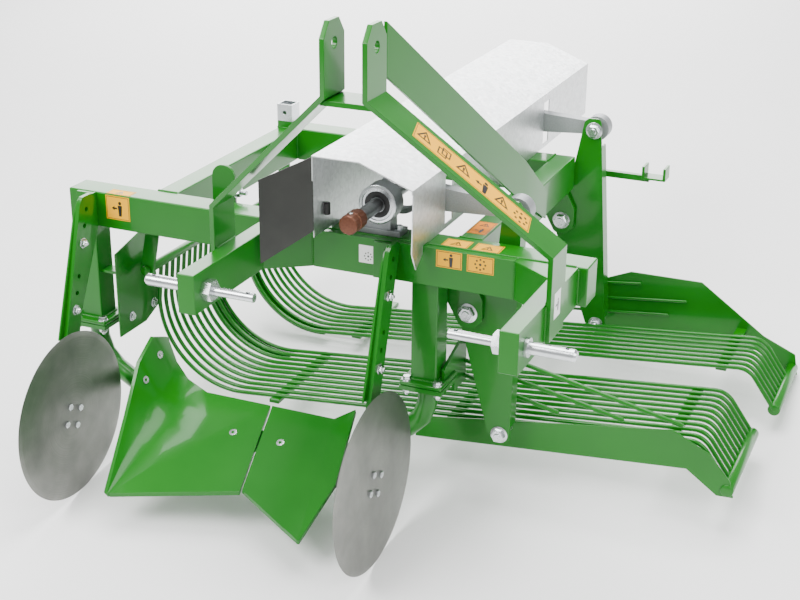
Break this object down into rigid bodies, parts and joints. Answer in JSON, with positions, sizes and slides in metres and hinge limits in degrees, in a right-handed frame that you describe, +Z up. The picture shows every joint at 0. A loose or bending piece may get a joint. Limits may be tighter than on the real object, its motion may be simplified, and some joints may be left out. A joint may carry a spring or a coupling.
{
  "type": "potato digger",
  "caption": "Tractor-mounted potato digger: three-point hitch frame, coulter discs, a flat share and shaken rod sieves that throw the crop to one side, under a covered drive shaft.",
  "frame": {"origin": "middle of the bounding box's footprint, on the floor that the parked machine stands on", "axes": "+X along the beams towards the side the sieves throw to, +Y to the rear away from the tractor, +Z up"},
  "size_m": [1.8518, 1.8812, 1.386],
  "materials": {
    "green_paint": "bright glossy green enamel",
    "galvanised": "galvanised sheet",
    "blade_steel": "bare rolled steel, lightly worn",
    "zinc": "zinc plated",
    "dark_steel": "dark oiled steel"
  },
  "bodies": {
    "frame": {"drive_cover": "galvanised", "front_beam": "green_paint", "front_bearing": "green_paint", "front_guard_rods": "green_paint", "front_hanger_lug": "green_paint", "front_lever_lug": "green_paint", "front_shroud": "galvanised", "hitch_front_plate": "green_paint", "hitch_left_arm": "green_paint", "hitch_right_arm": "green_paint", "left_disc_arm": "green_paint", "left_disc_clamp": "green_paint", "left_guide_plate": "green_paint", "left_share_leg": "green_paint", "left_side_beam": "green_paint", "left_stand_post": "green_paint", "left_stand_tube": "zinc", "lower_pin_left": "zinc", "lower_pin_right": "zinc", "mast_left_bar": "green_paint", "mast_right_bar": "green_paint", "mast_stay": "green_paint", "mast_tie_plate": "green_paint", "rear_beam": "green_paint", "rear_bearing": "green_paint", "rear_hanger_lug": "green_paint", "rear_lever_lug": "green_paint", "right_disc_arm": "green_paint", "right_disc_clamp": "green_paint", "right_lamp_bracket": "green_paint", "right_share_leg": "green_paint", "right_side_beam": "green_paint", "share_carrier": "green_paint", "share_left_plate": "green_paint", "share_right_plate": "green_paint"},
    "left_disc": {"left_disc": "blade_steel"},
    "right_disc": {"right_disc": "blade_steel"},
    "pto_shaft": {"pto_shaft": "dark_steel"},
    "front_lever": {"front_lever": "green_paint"},
    "rear_lever": {"rear_lever": "green_paint"},
    "front_conrod": {"front_conrod": "galvanised"},
    "rear_conrod": {"rear_conrod": "galvanised"},
    "front_sieve": {"front_sieve": "green_paint"},
    "rear_sieve": {"rear_sieve": "green_paint"},
    "front_hanger": {"front_hanger": "green_paint"},
    "rear_hanger": {"rear_hanger": "green_paint"}
  },
  "joints": [
    {"name": "left_disc_spin", "type": "hinge", "parent": "frame", "child": "left_disc", "pos_m": [-0.78093, -0.71179, 0.22878], "axis": [1, 0, 0], "continuous": true},
    {"name": "right_disc_spin", "type": "hinge", "parent": "frame", "child": "right_disc", "pos_m": [0.09707, -0.71179, 0.22878], "axis": [1, 0, 0], "continuous": true},
    {"name": "drive_shaft_spin", "type": "hinge", "parent": "frame", "child": "pto_shaft", "pos_m": [-0.00593, -0.3847, 0.8101], "axis": [0, 0.9879, -0.1551], "continuous": true},
    {"name": "front_lever_swing", "type": "hinge", "parent": "frame", "child": "front_lever", "pos_m": [0.21107, -0.33349, 0.52369], "axis": [0, 0.9879, -0.1551], "range_deg": [-6.45, 1.15]},
    {"name": "front_sieve_pivot", "type": "hinge", "parent": "front_lever", "child": "front_sieve", "pos_m": [0.30097, -0.38443, 0.19916], "axis": [0, 0.9879, -0.1551], "range_deg": [-1.02, 5.64]},
    {"name": "front_conrod_pivot", "type": "hinge", "parent": "front_lever", "child": "front_conrod", "pos_m": [0.31559, -0.29186, 0.7889], "axis": [0, 0.9879, -0.1551], "range_deg": [-0.82, 4.53]},
    {"name": "front_hanger_swing", "type": "hinge", "parent": "frame", "child": "front_hanger", "pos_m": [-0.71593, -0.31954, 0.6126], "axis": [0, 0.9879, -0.1551], "range_deg": [-13.25, 2.38]},
    {"name": "rear_lever_swing", "type": "hinge", "parent": "frame", "child": "rear_lever", "pos_m": [0.21107, 0.4272, 0.4043], "axis": [0, 0.9879, -0.1551], "range_deg": [-1.16, 6.46]},
    {"name": "rear_sieve_pivot", "type": "hinge", "parent": "rear_lever", "child": "rear_sieve", "pos_m": [0.33093, 0.37776, 0.08936], "axis": [0, 0.9879, -0.1551], "range_deg": [-5.66, 1.02]},
    {"name": "rear_conrod_pivot", "type": "hinge", "parent": "rear_lever", "child": "rear_conrod", "pos_m": [0.29035, 0.47014, 0.67791], "axis": [0, 0.9879, -0.1551], "range_deg": [-4.57, 0.83]},
    {"name": "rear_hanger_swing", "type": "hinge", "parent": "frame", "child": "rear_hanger", "pos_m": [-0.71593, 0.44115, 0.49321], "axis": [0, 0.9879, -0.1551], "range_deg": [-2.57, 14.32]}
  ],
  "couplings": [
    {"joint": "front_sieve_pivot", "follows": "front_lever_swing", "ratio": -0.87141},
    {"joint": "front_conrod_pivot", "follows": "front_lever_swing", "ratio": -0.6991},
    {"joint": "front_hanger_swing", "follows": "front_lever_swing", "ratio": 2.0505},
    {"joint": "rear_lever_swing", "follows": "front_lever_swing", "ratio": -1},
    {"joint": "rear_sieve_pivot", "follows": "front_lever_swing", "ratio": 0.87362},
    {"joint": "rear_conrod_pivot", "follows": "front_lever_swing", "ratio": 0.7057},
    {"joint": "rear_hanger_swing", "follows": "front_lever_swing", "ratio": -2.2165}
  ]
}
